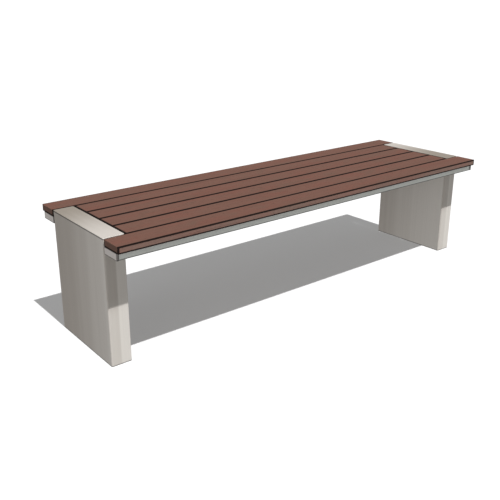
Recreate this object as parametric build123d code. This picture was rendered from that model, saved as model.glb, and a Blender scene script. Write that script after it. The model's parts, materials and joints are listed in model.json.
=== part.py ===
from build123d import *
from math import sqrt
import os

# Backless street bench: six timber slats on a folded steel seat frame, which is bolted
# between two slab legs of bent sheet metal. Millimetres, +X along the bench, +Y to its
# rear, +Z up. The origin is on the ground at the middle of the footprint.

# ---------------------------------------------------------------- driving dimensions

# Overall
bench_length = 1800.0
seat_height = 450.0

# Slats: the two outer ones run the full length, the inner ones stop at the legs
inner_slat_count = 4
slat_width = 90.0
slat_thickness = 25.0
slat_gap = 4.0
slat_end_gap = 5.0
slat_edge_radius = 2.0

# Legs: a sheet tube, closed by a base plate inside it and a lift-off plate on top
leg_thickness = 75.0
leg_sheet = 3.0
leg_bend_inside_radius = 2.0
top_plate_thickness = 4.0
top_plate_edge_radius = 0.8
base_plate_thickness = 8.0
anchor_spacing = 220.0
anchor_hole_radius = 7.0
stiffener_flange = 25.0

# Tabs under each top plate, screwed to the leg's seat side from under the seat
tab_width = 30.0
tab_length = 70.0
tab_spacing = 120.0
tab_clearance = 0.2
tab_screw_above_tip = 10.0

# Side rails: inverted channels of folded sheet, closed by end plates
rail_height = 25.0
rail_sheet = 3.0
rail_bend_inside_radius = 1.0
rail_inset = 15.0
end_plate_thickness = 8.0
end_plate_lip = 2.0
end_plate_edge_radius = 0.8

# Bearers: inverted channels across the frame, with an end tab against each rail
bearer_count = 5
bearer_width = 40.0
bearer_sheet = 3.0
bearer_bend_inside_radius = 1.0
bearer_leg_clearance = 1.0

# Rail bolts, M10, into threaded blocks inside the legs
rail_bolt_radius = 5.0
rail_bolt_length = 35.0
rail_bolt_spacing = 32.0
rail_bolt_flats = 16.0
rail_bolt_head = 6.4
rail_washer_radius = 10.0
rail_washer_thickness = 2.0
rail_washer_clearance = 1.0
rail_spacer_radius = 11.0
block_depth = 30.0
block_height = 25.0
block_bend_clearance = 0.5

# Bearer bolts, M6
bearer_bolt_radius = 3.0
bearer_bolt_length = 16.0
bearer_bolt_spacing = 18.0
bearer_bolt_flats = 10.0
bearer_bolt_head = 4.0
bearer_nut_height = 5.0

# Screws up through the frame into the slats, 5 mm
slat_screw_radius = 2.5
slat_screw_length = 20.0
slat_screw_tip = 3.0
slat_screw_tip_radius = 0.5
slat_screw_head_radius = 5.0
slat_screw_head = 3.0
slat_screw_head_rounding = 1.5
slat_screw_socket_flats = 4.0
slat_screw_socket_depth = 1.8
slat_screw_spacing = 36.0

# Button-head screws of the top plates, M6
tab_screw_radius = 3.0
tab_screw_length = 12.0
tab_screw_head_radius = 5.25
tab_screw_head = 3.3
tab_screw_head_rounding = 2.6
tab_screw_socket_flats = 4.0
tab_screw_socket_depth = 2.0

# Share of a hexagon's corners that is turned off at the far end of a head or a nut
hex_turned_share = 0.9

# Fits: radial room round a bolt in a plain hole, and round a thread in its tapped hole
bolt_clearance = 0.5
thread_clearance = 0.1

# ---------------------------------------------------------------- worked-out sizes

slat_pitch = slat_width + slat_gap
leg_width = inner_slat_count * slat_pitch - slat_gap
seat_width = leg_width + 2 * slat_pitch
outer_slat_y = (seat_width - slat_width) / 2
inner_slat_length = bench_length - 2 * (leg_thickness + slat_end_gap)

leg_x = (bench_length - leg_thickness) / 2
leg_shell_height = seat_height - top_plate_thickness
leg_cavity_length = leg_thickness - 2 * leg_sheet
leg_cavity_width = leg_width - 2 * leg_sheet
leg_corner_radius = leg_bend_inside_radius + leg_sheet
leg_seat_face_x = bench_length / 2 - leg_thickness
tab_top = leg_shell_height
tab_screw_z = tab_top - tab_length + tab_screw_above_tip

frame_top = seat_height - slat_thickness
frame_bottom = frame_top - rail_height
frame_bolt_z = frame_top - rail_sheet - rail_washer_clearance - rail_washer_radius
rail_web_y = leg_width / 2 + slat_gap
rail_fascia_y = seat_width / 2 - rail_inset
rail_y = (rail_web_y + rail_fascia_y) / 2
rail_length = bench_length - 2 * end_plate_thickness
rail_bolt_x = (leg_seat_face_x + rail_length / 2) / 2
bearer_end_x = leg_seat_face_x - bearer_leg_clearance - bearer_width / 2

RIGHT = Vector(1, 0, 0)
REAR = Vector(0, 1, 0)
UP = Vector(0, 0, 1)


def spread(count, first, last):
    """Evenly spaced values, the first and the last included."""
    step = (last - first) / (count - 1)
    return [first + i * step for i in range(count)]


bearer_places = spread(bearer_count, -bearer_end_x, bearer_end_x)
inner_slat_places = [
    (i - (inner_slat_count - 1) / 2) * slat_pitch for i in range(inner_slat_count)
]
outer_screw_places = [-rail_bolt_x, *bearer_places, rail_bolt_x]
screw_rows = (-slat_screw_spacing / 2, slat_screw_spacing / 2)
rail_bolt_offsets = (-rail_bolt_spacing / 2, rail_bolt_spacing / 2)
tab_places = (-tab_spacing / 2, tab_spacing / 2)


# ---------------------------------------------------------------- shapes used again

def round_bar(start, direction, radius, length):
    """Cylinder from a point, along a direction."""
    bar = Cylinder(radius, length, align=(Align.CENTER, Align.CENTER, Align.MIN))
    return Plane(origin=start, z_dir=direction) * bar


def hex_bar(start, direction, across_flats, length):
    """Hexagonal prism from a point, along a direction."""
    outline = RegularPolygon(across_flats / 2, 6, major_radius=False)
    return extrude(Plane(origin=start, z_dir=direction) * outline, length)


def hex_body(start, direction, across_flats, length):
    """Hexagonal head or nut with its corners turned off at the far end."""
    corner_radius = across_flats / sqrt(3)
    turned_off = hex_turned_share * (corner_radius - across_flats / 2)
    turned = Cylinder(corner_radius, length, align=(Align.CENTER, Align.CENTER, Align.MIN))
    turned = chamfer(turned.edges().sort_by(Axis.Z)[-1], turned_off)
    return hex_bar(start, direction, across_flats, length) & (
        Plane(origin=start, z_dir=direction) * turned
    )


def rounded_block(length, width, height, corner_radius):
    """Upright block from z = 0, with its four vertical edges rounded."""
    return extrude(RectangleRounded(length, width, corner_radius), height)


def channel_section(width, height, sheet, bend_inside_radius):
    """Section of an inverted channel, its top on the section's X axis."""
    outer = Pos(0, -height / 2) * Rectangle(width, height)
    outer = fillet(outer.vertices().group_by(Axis.Y)[-1], bend_inside_radius + sheet)
    inner = Pos(0, -(height + sheet) / 2) * Rectangle(width - 2 * sheet, height - sheet)
    inner = fillet(inner.vertices().group_by(Axis.Y)[-1], bend_inside_radius)
    return outer - inner


def group(pieces):
    """Separate solids kept together in one node."""
    return Compound([solid for piece in pieces for solid in piece.solids()])


def mirrored_pair(piece, plane):
    """A piece and its mirror image."""
    return piece, mirror(piece, about=plane)


# ---------------------------------------------------------------- slats and their screws

def slat(length, y, screw_y, screw_places, flange_sheet):
    """A slat with rounded arrises and two rows of pilot holes for the screws from below."""
    body = Pos(0, y, seat_height - slat_thickness / 2) * Box(length, slat_width, slat_thickness)
    body = fillet(body.edges(), slat_edge_radius)
    depth = slat_screw_length - flange_sheet + thread_clearance
    for x in screw_places:
        for row in screw_rows:
            mouth = (x, screw_y + row, frame_top)
            body -= round_bar(mouth, UP, slat_screw_radius + thread_clearance, depth)
    return body


def slat_screw(x, y, flange_sheet):
    """Pan-head screw, its head under the flange and its point in the slat."""
    seat = Vector(x, y, frame_top - flange_sheet)
    shank = round_bar(seat, UP, slat_screw_radius, slat_screw_length - slat_screw_tip)
    point = Cone(
        slat_screw_radius,
        slat_screw_tip_radius,
        slat_screw_tip,
        align=(Align.CENTER, Align.CENTER, Align.MIN),
    )
    point = Pos(seat + UP * (slat_screw_length - slat_screw_tip)) * point
    head = round_bar(seat, -UP, slat_screw_head_radius, slat_screw_head)
    head = fillet(head.edges().sort_by(Axis.Z)[0], slat_screw_head_rounding)
    socket_start = seat - UP * slat_screw_head
    socket = hex_bar(socket_start, UP, slat_screw_socket_flats, slat_screw_socket_depth)
    return shank + point + head - socket


def slat_screws(screw_y, screw_places, flange_sheet):
    """All the screws of one slat, in two rows."""
    return [slat_screw(x, screw_y + row, flange_sheet) for x in screw_places for row in screw_rows]


def build_slats():
    """The six slats, front to rear, and the screws that hold them."""
    nodes = {}
    for name, side in (("front", -1), ("rear", 1)):
        y = side * outer_slat_y
        screw_y = side * rail_y
        nodes[f"{name}_outer_slat"] = slat(bench_length, y, screw_y, outer_screw_places, rail_sheet)
        nodes[f"{name}_slat_screws"] = group(slat_screws(screw_y, outer_screw_places, rail_sheet))
    inner_screws = []
    for number, y in enumerate(inner_slat_places, start=1):
        nodes[f"inner_slat_{number}"] = slat(inner_slat_length, y, y, bearer_places, bearer_sheet)
        inner_screws += slat_screws(y, bearer_places, bearer_sheet)
    nodes["inner_slat_screws"] = group(inner_screws)
    return nodes


# ---------------------------------------------------------------- seat frame

def rail_bolt_places():
    """Bolt positions along the bench, two at each leg."""
    return [side * rail_bolt_x + offset for side in (-1, 1) for offset in rail_bolt_offsets]


def bearer_bolt_places(x):
    """Positions along the bench of the two bolts at each end of a bearer."""
    return x - bearer_bolt_spacing / 2, x + bearer_bolt_spacing / 2


def rear_rail():
    """Channel along the rear slat: fascia outside, web bolted to the legs and bearers."""
    width = rail_fascia_y - rail_web_y
    section = channel_section(width, rail_height, rail_sheet, rail_bend_inside_radius)
    start = Plane(origin=(-rail_length / 2, rail_y, frame_top), x_dir=REAR, z_dir=RIGHT)
    rail = extrude(start * section, rail_length)
    for x in outer_screw_places:
        for row in screw_rows:
            below = (x, rail_y + row, frame_top - rail_sheet)
            rail -= round_bar(below, UP, slat_screw_radius + bolt_clearance, rail_sheet)
    web_face = (0, rail_web_y, frame_bolt_z)
    for x in rail_bolt_places():
        rail -= Pos(x) * round_bar(web_face, REAR, rail_bolt_radius + bolt_clearance, rail_sheet)
    for bearer_x in bearer_places:
        for x in bearer_bolt_places(bearer_x):
            rail -= Pos(x) * round_bar(web_face, REAR, bearer_bolt_radius + bolt_clearance, rail_sheet)
    return rail


def rear_right_end_plate():
    """Plate that closes the rear rail, flush with the slat's end and proud of the fascia."""
    width = rail_fascia_y + end_plate_lip - rail_web_y
    plate = Box(
        end_plate_thickness,
        width,
        rail_height,
        align=(Align.MAX, Align.MIN, Align.MAX),
    )
    plate = fillet(plate.edges().filter_by(Axis.X, reverse=True), end_plate_edge_radius)
    return Pos(bench_length / 2, rail_web_y, frame_top) * plate


def bearer(x):
    """Channel across the frame, its end tabs flat against the rails' webs."""
    start = Plane(origin=(x, -rail_web_y, frame_top), x_dir=-RIGHT, z_dir=REAR)
    section = channel_section(bearer_width, rail_height, bearer_sheet, bearer_bend_inside_radius)
    body = extrude(start * section, 2 * rail_web_y)
    tab_height = rail_height - bearer_sheet
    tab = Box(
        bearer_width - 2 * bearer_sheet,
        bearer_sheet,
        tab_height,
        align=(Align.CENTER, Align.MAX, Align.MIN),
    )
    for end_tab in mirrored_pair(Pos(x, rail_web_y, frame_bottom) * tab, Plane.XZ):
        body += end_tab
    for y in inner_slat_places:
        for row in screw_rows:
            below = (x, y + row, frame_top - bearer_sheet)
            body -= round_bar(below, UP, slat_screw_radius + bolt_clearance, bearer_sheet)
    for bolt_x in bearer_bolt_places(x):
        start = (bolt_x, -rail_web_y, frame_bolt_z)
        body -= round_bar(start, REAR, bearer_bolt_radius + bolt_clearance, 2 * rail_web_y)
    return body


def rear_bearer_bolt(x):
    """Bolt from inside the rail, through its web and the bearer's tab."""
    seat = Vector(x, rail_web_y + rail_sheet, frame_bolt_z)
    shank = round_bar(seat, -REAR, bearer_bolt_radius, bearer_bolt_length)
    return shank + hex_body(seat, REAR, bearer_bolt_flats, bearer_bolt_head)


def rear_bearer_nut(x):
    """Nut on that bolt, inside the bearer."""
    seat = Vector(x, rail_web_y - bearer_sheet, frame_bolt_z)
    nut = hex_body(seat, -REAR, bearer_bolt_flats, bearer_nut_height)
    return nut - round_bar(seat, -REAR, bearer_bolt_radius + thread_clearance, bearer_nut_height)


def rear_rail_spacer(x):
    """Ring between the leg and the rail, as thick as the gap beside the slats."""
    seat = Vector(x, leg_width / 2, frame_bolt_z)
    ring = round_bar(seat, REAR, rail_spacer_radius, slat_gap)
    return ring - round_bar(seat, REAR, rail_bolt_radius + bolt_clearance, slat_gap)


def rear_rail_washer(x):
    """Washer inside the rail, under the bolt's head."""
    seat = Vector(x, rail_web_y + rail_sheet, frame_bolt_z)
    ring = round_bar(seat, REAR, rail_washer_radius, rail_washer_thickness)
    return ring - round_bar(seat, REAR, rail_bolt_radius + bolt_clearance, rail_washer_thickness)


def rear_rail_bolt(x):
    """Bolt from inside the rail into the threaded block in the leg."""
    seat = Vector(x, rail_web_y + rail_sheet + rail_washer_thickness, frame_bolt_z)
    shank = round_bar(seat, -REAR, rail_bolt_radius, rail_bolt_length)
    return shank + hex_body(seat, REAR, rail_bolt_flats, rail_bolt_head)


def front_and_rear(make, places):
    """One piece at each place along the rear rail, and their mirror images at the front."""
    return group([piece for x in places for piece in mirrored_pair(make(x), Plane.XZ)])


def build_frame():
    """Two rails with their end plates, the bearers between them and all their bolts."""
    nodes = {}
    nodes["rear_rail"], nodes["front_rail"] = mirrored_pair(rear_rail(), Plane.XZ)
    for row, right_plate in zip(("rear", "front"), mirrored_pair(rear_right_end_plate(), Plane.XZ)):
        right_and_left = mirrored_pair(right_plate, Plane.YZ)
        nodes[f"{row}_right_end_plate"], nodes[f"{row}_left_end_plate"] = right_and_left
    for number, x in enumerate(bearer_places, start=1):
        nodes[f"bearer_{number}"] = bearer(x)
    bearer_bolts = [x for place in bearer_places for x in bearer_bolt_places(place)]
    nodes["bearer_bolts"] = front_and_rear(rear_bearer_bolt, bearer_bolts)
    nodes["bearer_nuts"] = front_and_rear(rear_bearer_nut, bearer_bolts)
    nodes["rail_spacers"] = front_and_rear(rear_rail_spacer, rail_bolt_places())
    nodes["rail_washers"] = front_and_rear(rear_rail_washer, rail_bolt_places())
    nodes["rail_bolts"] = front_and_rear(rear_rail_bolt, rail_bolt_places())
    return nodes


# ---------------------------------------------------------------- legs
# Each piece is made for the right leg and mirrored for the left one.

def leg_shell():
    """Tube of bent sheet, with holes for the rail bolts and the top plate's screws."""
    outside = rounded_block(leg_thickness, leg_width, leg_shell_height, leg_corner_radius)
    cavity = rounded_block(
        leg_cavity_length, leg_cavity_width, leg_shell_height, leg_bend_inside_radius
    )
    shell = Pos(leg_x) * (outside - cavity)
    for offset in rail_bolt_offsets:
        start = (rail_bolt_x + offset, -leg_width / 2, frame_bolt_z)
        shell -= round_bar(start, REAR, rail_bolt_radius + bolt_clearance, leg_width)
    for y in tab_places:
        start = (leg_seat_face_x, y, tab_screw_z)
        shell -= round_bar(start, RIGHT, tab_screw_radius + bolt_clearance, leg_sheet)
    return shell


def leg_top_plate():
    """Lift-off plate flush with the slats, with two tapped tabs down the seat side."""
    plate = rounded_block(leg_thickness, leg_width, top_plate_thickness, leg_corner_radius)
    plate = fillet(plate.faces().sort_by(Axis.Z)[-1].edges(), top_plate_edge_radius)
    plate = Pos(leg_x, 0, leg_shell_height) * plate
    tab_x = leg_seat_face_x + leg_sheet + tab_clearance
    for y in tab_places:
        tab = Box(leg_sheet, tab_width, tab_length, align=(Align.MIN, Align.CENTER, Align.MAX))
        plate += Pos(tab_x, y, tab_top) * tab
        start = (tab_x, y, tab_screw_z)
        plate -= round_bar(start, RIGHT, tab_screw_radius + thread_clearance, leg_sheet)
    return plate


def leg_base_plate():
    """Plate welded inside the foot of the leg, with two holes for ground anchors."""
    plate = rounded_block(
        leg_cavity_length, leg_cavity_width, base_plate_thickness, leg_bend_inside_radius
    )
    for y in (-anchor_spacing / 2, anchor_spacing / 2):
        plate -= round_bar((0, y, 0), UP, anchor_hole_radius, base_plate_thickness)
    return Pos(leg_x) * plate


def leg_stiffener():
    """Upright channel at the middle of the leg, welded between its two broad walls."""
    height = tab_screw_z - tab_screw_above_tip - base_plate_thickness
    outer = Box(
        leg_cavity_length,
        stiffener_flange,
        height,
        align=(Align.CENTER, Align.MIN, Align.MIN),
    )
    hollow = Pos(0, leg_sheet) * Box(
        leg_cavity_length - 2 * leg_sheet,
        stiffener_flange,
        height,
        align=(Align.CENTER, Align.MIN, Align.MIN),
    )
    return Pos(leg_x, 0, base_plate_thickness) * (outer - hollow)


def rear_fixing_block():
    """Threaded block welded inside the leg's narrow wall, clear of its bends, for the rail bolts."""
    start_y = leg_width / 2 - leg_sheet - block_depth
    width = leg_cavity_length - 2 * (leg_bend_inside_radius + block_bend_clearance)
    block = Box(width, block_depth, block_height, align=(Align.CENTER, Align.MIN, Align.CENTER))
    block = Pos(leg_x, start_y, frame_bolt_z) * block
    for offset in rail_bolt_offsets:
        start = (rail_bolt_x + offset, start_y, frame_bolt_z)
        block -= round_bar(start, REAR, rail_bolt_radius + thread_clearance, block_depth)
    return block


def top_plate_screw(y):
    """Button-head screw under the seat, through the leg's wall into the plate's tab."""
    seat = Vector(leg_seat_face_x, y, tab_screw_z)
    shank = round_bar(seat, RIGHT, tab_screw_radius, tab_screw_length)
    head = round_bar(seat, -RIGHT, tab_screw_head_radius, tab_screw_head)
    head = fillet(head.edges().sort_by(Axis.X)[0], tab_screw_head_rounding)
    socket_start = seat - RIGHT * tab_screw_head
    socket = hex_bar(socket_start, RIGHT, tab_screw_socket_flats, tab_screw_socket_depth)
    return shank + head - socket


def build_legs():
    """Both legs: shells, plates, stiffeners, threaded blocks and the top plates' screws."""
    nodes = {}
    right_leg = {
        "leg_shell": leg_shell(),
        "leg_top_plate": leg_top_plate(),
        "leg_base_plate": leg_base_plate(),
        "leg_stiffener": leg_stiffener(),
    }
    rear_block, front_block = mirrored_pair(rear_fixing_block(), Plane.XZ)
    right_leg["rear_fixing_block"] = rear_block
    right_leg["front_fixing_block"] = front_block
    for name, piece in right_leg.items():
        nodes[f"right_{name}"], nodes[f"left_{name}"] = mirrored_pair(piece, Plane.YZ)
    right_screws = [top_plate_screw(y) for y in tab_places]
    all_screws = [screw for right in right_screws for screw in mirrored_pair(right, Plane.YZ)]
    nodes["top_plate_screws"] = group(all_screws)
    return nodes


# ---------------------------------------------------------------- files

os.makedirs("parts", exist_ok=True)
for node_name, shape in {**build_slats(), **build_frame(), **build_legs()}.items():
    export_step(shape, f"parts/{node_name}.step")
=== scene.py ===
"""Backless street bench: its visible surfaces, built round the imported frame.

Every piece takes its size and place from the frame. The slats and all the fasteners are
made by Geometry Nodes and replace their plain nodes; the sheet-metal pieces keep their
meshes and get a finish. Metres, +X along the bench, +Y to its rear, +Z up.
"""

import json
import logging
import math
from collections.abc import Mapping, Sequence
from dataclasses import dataclass
from enum import Enum
from typing import Any

import bpy
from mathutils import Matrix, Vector


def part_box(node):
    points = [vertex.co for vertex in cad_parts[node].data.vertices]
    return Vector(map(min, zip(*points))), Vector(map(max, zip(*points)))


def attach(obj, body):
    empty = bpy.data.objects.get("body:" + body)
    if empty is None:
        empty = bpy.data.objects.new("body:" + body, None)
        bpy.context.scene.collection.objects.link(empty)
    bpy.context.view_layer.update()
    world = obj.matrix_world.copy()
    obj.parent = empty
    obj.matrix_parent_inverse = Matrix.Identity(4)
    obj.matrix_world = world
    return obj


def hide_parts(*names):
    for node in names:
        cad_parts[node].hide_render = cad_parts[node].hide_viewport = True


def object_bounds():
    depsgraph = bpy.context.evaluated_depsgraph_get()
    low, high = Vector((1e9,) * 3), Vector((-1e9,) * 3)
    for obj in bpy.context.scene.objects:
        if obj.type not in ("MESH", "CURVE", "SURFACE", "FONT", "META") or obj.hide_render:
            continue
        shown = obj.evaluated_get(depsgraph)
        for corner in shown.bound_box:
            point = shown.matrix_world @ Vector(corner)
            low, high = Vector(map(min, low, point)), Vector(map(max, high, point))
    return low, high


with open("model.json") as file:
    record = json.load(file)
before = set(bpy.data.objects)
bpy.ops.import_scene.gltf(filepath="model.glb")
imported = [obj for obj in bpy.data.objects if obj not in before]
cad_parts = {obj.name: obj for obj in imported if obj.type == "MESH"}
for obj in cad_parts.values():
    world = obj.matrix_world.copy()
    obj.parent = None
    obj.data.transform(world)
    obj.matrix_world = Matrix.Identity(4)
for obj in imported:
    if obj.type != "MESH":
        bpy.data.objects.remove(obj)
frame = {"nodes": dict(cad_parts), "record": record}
CAD_LOW, CAD_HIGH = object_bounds()

BODY = "root"
MM = 0.001
# Two points closer than this are one.
WELD = 0.001 * MM
# Wider than any ring, so that nothing is cut off it.
NO_FLATS = 1.0
log = logging.getLogger("bench")


class Axis(Enum):
    """The three directions of the frame."""

    ALONG = 0
    ACROSS = 1
    UP = 2


# ---------------------------------------------------------------- node trees


def linear(hex_colour: str) -> tuple[float, float, float, float]:
    """Turn an sRGB hex colour into linear RGBA.

    Args:
        hex_colour: Six hex digits after a hash.

    Returns:
        Linear red, green, blue and an alpha of 1.
    """
    parts = [int(hex_colour[i:i + 2], 16) / 255 for i in (1, 3, 5)]
    red, green, blue = (c / 12.92 if c <= 0.04045 else ((c + 0.055) / 1.055) ** 2.4 for c in parts)
    return red, green, blue, 1.0


def find(sockets: Any, key: str | int) -> bpy.types.NodeSocket:
    """Find a node's socket by its identifier, its name or its number.

    Args:
        sockets: The node's inputs or outputs.
        key: Identifier, name or number.

    Returns:
        The socket.
    """
    by_identifier = [s for s in sockets if s.identifier == key]
    return by_identifier[0] if by_identifier else sockets[key]


def add(
    tree: bpy.types.NodeTree,
    kind: str,
    inputs: Mapping[str | int, Any] | None = None,
    output: str | int = 0,
    **settings: Any,
) -> Any:
    """Add one node with its settings, constants and links.

    Args:
        tree: The tree that gets the node.
        kind: The node's type.
        inputs: Values or sockets for its inputs.
        output: The output that is wanted.
        **settings: Properties of the node, set before its inputs.

    Returns:
        The wanted output socket, or the node itself if it has no outputs.
    """
    node = tree.nodes.new(kind)
    for name, value in settings.items():
        setattr(node, name, value)
    for key, value in (inputs or {}).items():
        socket = find(node.inputs, key)
        source = value.socket if isinstance(value, Number) else value
        if isinstance(source, bpy.types.NodeSocket):
            tree.links.new(source, socket)
        else:
            socket.default_value = source
    return find(node.outputs, output) if len(node.outputs) else node


@dataclass(frozen=True)
class Number:
    """A number inside a node tree, with the usual arithmetic.

    Attributes:
        tree: The tree it lives in.
        socket: The socket that gives it.
    """

    tree: bpy.types.NodeTree
    socket: Any

    def math(self, operation: str, *others: Any) -> "Number":
        """Apply a Math node to this number.

        Args:
            operation: The Math node's operation.
            *others: Its other operands.

        Returns:
            The result.
        """
        operands = dict(enumerate((self, *others)))
        return Number(self.tree, add(self.tree, "ShaderNodeMath", operands, operation=operation))

    def __add__(self, other: Any) -> "Number":
        """Return the sum."""
        return self.math("ADD", other)

    def __sub__(self, other: Any) -> "Number":
        """Return the difference."""
        return self.math("SUBTRACT", other)

    def __mul__(self, other: Any) -> "Number":
        """Return the product."""
        return self.math("MULTIPLY", other)

    def __truediv__(self, other: Any) -> "Number":
        """Return the quotient."""
        return self.math("DIVIDE", other)

    def __neg__(self) -> "Number":
        """Return the opposite number."""
        return self.math("MULTIPLY", -1.0)

    def eased(self, start: float, end: float) -> "Number":
        """Ease from 0 to 1 while this number goes from start to end.

        Args:
            start: Where the result is 0.
            end: Where the result is 1.

        Returns:
            The eased value.
        """
        inputs = {"Value": self, "From Min": start, "From Max": end}
        smooth = {"interpolation_type": "SMOOTHSTEP"}
        return Number(self.tree, add(self.tree, "ShaderNodeMapRange", inputs, **smooth))


def split(tree: bpy.types.NodeTree, vector: Any) -> list[Number]:
    """Split a vector into its three numbers."""
    node = add(tree, "ShaderNodeSeparateXYZ", {"Vector": vector}).node
    return [Number(tree, socket) for socket in node.outputs]


class RuleTree:
    """A Geometry Nodes tree with named inputs, built step by step.

    Attributes:
        tree: The node group.
        entry: Its group input node.
    """

    def __init__(self, name: str) -> None:
        """Start an empty tree.

        Args:
            name: The tree's name.
        """
        self.tree = bpy.data.node_groups.new(name, "GeometryNodeTree")
        self.tree.interface.new_socket("Geometry", in_out="OUTPUT", socket_type="NodeSocketGeometry")
        self.entry = self.tree.nodes.new("NodeGroupInput")

    def ask(self, name: str, kind: str = "Float") -> Number:
        """Add a named input.

        Args:
            name: What the input is called.
            kind: Its socket type, such as Float, Int, Vector, Material or Geometry.

        Returns:
            The input, ready for arithmetic if it is a number.
        """
        self.tree.interface.new_socket(name, in_out="INPUT", socket_type=f"NodeSocket{kind}")
        return Number(self.tree, self.entry.outputs[name])

    def add(self, kind: str, inputs: Mapping[str | int, Any] | None = None, **settings: Any) -> Any:
        """Add a node to this tree, as the function of the same name does."""
        return add(self.tree, kind, inputs, **settings)

    def join(self, parts: Sequence[Number]) -> Any:
        """Join three numbers into a vector."""
        return self.add("ShaderNodeCombineXYZ", dict(enumerate(parts)))

    def keep(self, mesh: Any, name: str, value: Any, kind: str = "FLOAT") -> Any:
        """Store a value on the mesh's points under a name, for the finish to read."""
        inputs = {"Geometry": mesh, "Name": name, "Value": value}
        return self.add("GeometryNodeStoreNamedAttribute", inputs, data_type=kind, domain="POINT")

    def close(self, mesh: Any, material: Number) -> None:
        """End the tree: real meshes only, with their finish.

        Args:
            mesh: The finished geometry.
            material: The input that holds the finish.
        """
        real = self.add("GeometryNodeRealizeInstances", {"Geometry": mesh})
        dressed = self.add("GeometryNodeSetMaterial", {"Geometry": real, "Material": material})
        self.add("NodeGroupOutput", {"Geometry": dressed})

    def run(self, base: bpy.types.Mesh, values: Mapping[str, Any]) -> bpy.types.Mesh:
        """Run the tree on a mesh and return the result as a plain mesh.

        Args:
            base: The mesh that the tree starts from.
            values: The named inputs' values.

        Returns:
            The new mesh.
        """
        worker = bpy.data.objects.new("worker", base)
        bpy.context.scene.collection.objects.link(worker)
        modifier = worker.modifiers.new("rule", "NODES")
        modifier.node_group = self.tree
        for item in self.tree.interface.items_tree:
            if item.in_out == "INPUT" and item.name in values:
                modifier[item.identifier] = values[item.name]
        graph = bpy.context.evaluated_depsgraph_get()
        mesh = bpy.data.meshes.new_from_object(worker.evaluated_get(graph))
        bpy.data.objects.remove(worker)
        return mesh


def place(name: str, mesh: bpy.types.Mesh, slot: str, replaced: str) -> bpy.types.Object:
    """Put a finished mesh in the scene in place of a node of the frame.

    Args:
        name: The new piece's name.
        mesh: Its mesh, already where it belongs.
        slot: The name of its material slot; not used.
        replaced: The node that it stands for.

    Returns:
        The new piece.
    """
    piece = bpy.data.objects.new(name, mesh)
    bpy.context.scene.collection.objects.link(piece)
    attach(piece, BODY)
    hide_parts(replaced)
    log.info("%s: %d faces, in place of %s", name, len(mesh.polygons), replaced)
    return piece


def dress(node: str, material: bpy.types.Material) -> None:
    """Give a node of the frame its finish.

    Args:
        node: The node's name.
        material: The finish.
    """
    for material_slot in frame["nodes"][node].material_slots:
        material_slot.material = material
    log.info("%s: dressed in %s", node, material.name)


# ---------------------------------------------------------------- finishes


@dataclass(frozen=True)
class Joint:
    """A line where two pieces meet, or an edge, that has darkened with dirt; at the foot it is partly
    painted contact shade.

    Attributes:
        axis: The axis that it is measured along.
        place: Its distance from the frame's origin along that axis, in metres, on both sides.
        share: How dark it is, up to 1.
        reach: How far the dirt reaches from it, in millimetres.
        core: The part of that reach that is fully dark.
    """

    axis: Axis
    place: float
    share: float = 0.8
    reach: float = 2.2
    core: float = 0.4


@dataclass(frozen=True)
class Pattern:
    """Soft random patches, and how they cover what is below them.

    Attributes:
        sizes: The size of a patch along each axis, in millimetres.
        detail: How many finer layers are added.
        start: The noise at which a patch begins.
        full: The noise from which it covers as strongly as it can.
        share: How strongly that is, up to 1.
        raggedness: How strong the finer layers are.
    """

    sizes: tuple[float, float, float]
    detail: float = 2.0
    start: float = 0.0
    full: float = 1.0
    share: float = 1.0
    raggedness: float = 0.55

    def noise(self, tree: bpy.types.NodeTree, at: Any) -> Number:
        """Make the noise that the patches come from.

        Args:
            tree: The material's tree.
            at: The coordinates, in metres.

        Returns:
            The noise, about 0.5 in the mean.
        """
        scale = Vector([1 / (size * MM) for size in self.sizes])
        stretched = add(tree, "ShaderNodeMapping", {"Vector": at, "Scale": scale})
        inputs = {
            "Vector": stretched,
            "Scale": 1.0,
            "Detail": self.detail,
            "Roughness": self.raggedness,
        }
        return Number(tree, add(tree, "ShaderNodeTexNoise", inputs))

    def eased(self, noise: Number) -> Number:
        """Give 0 outside the patches and 1 inside them."""
        return noise.eased(self.start, self.full)

    def cover(self, noise: Number) -> Number:
        """Give the share by which the patches cover."""
        return self.eased(noise) * self.share


@dataclass(frozen=True)
class Look:
    """What a finish gives its shader.

    Attributes:
        colour: The base colour.
        roughness: The roughness.
        height: The pattern of the relief.
    """

    colour: Any
    roughness: Number
    height: Number


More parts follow.
